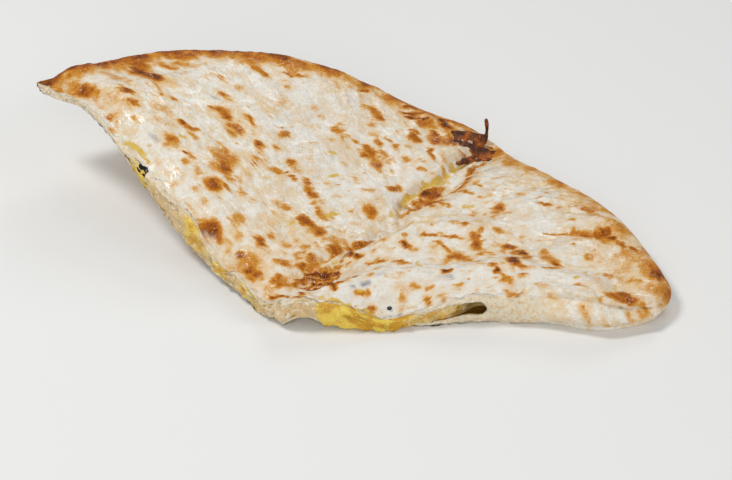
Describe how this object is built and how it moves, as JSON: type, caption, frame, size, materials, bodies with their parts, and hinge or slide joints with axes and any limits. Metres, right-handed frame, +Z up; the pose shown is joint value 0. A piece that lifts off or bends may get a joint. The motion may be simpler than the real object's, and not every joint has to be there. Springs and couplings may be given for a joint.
{
  "type": "half of a cheese-filled flatbread, cut",
  "caption": "Half of a round flatbread with a cheese filling, its lobes still joined along a pressed crease, one lobe flat and one lifted.",
  "frame": {"origin": "on the flat underside, under the middle of the crease", "axes": "+Z up from the face it rests on; +X along the right cut, away from the tip; +Y from the cuts towards the round rim"},
  "size_m": [0.2474, 0.1657, 0.0468],
  "materials": {
    "bread": "baked dough, cream with brown scorch marks, thinly buttered",
    "cheese": "melted yellow cheese, soft gloss",
    "burnt_cheese": "cheese fried dark brown, crisp, glossy in places"
  },
  "bodies": {
    "root": {"bread": "bread", "cheese_filling": "cheese", "burnt_cheese": "burnt_cheese"}
  },
  "joints": []
}
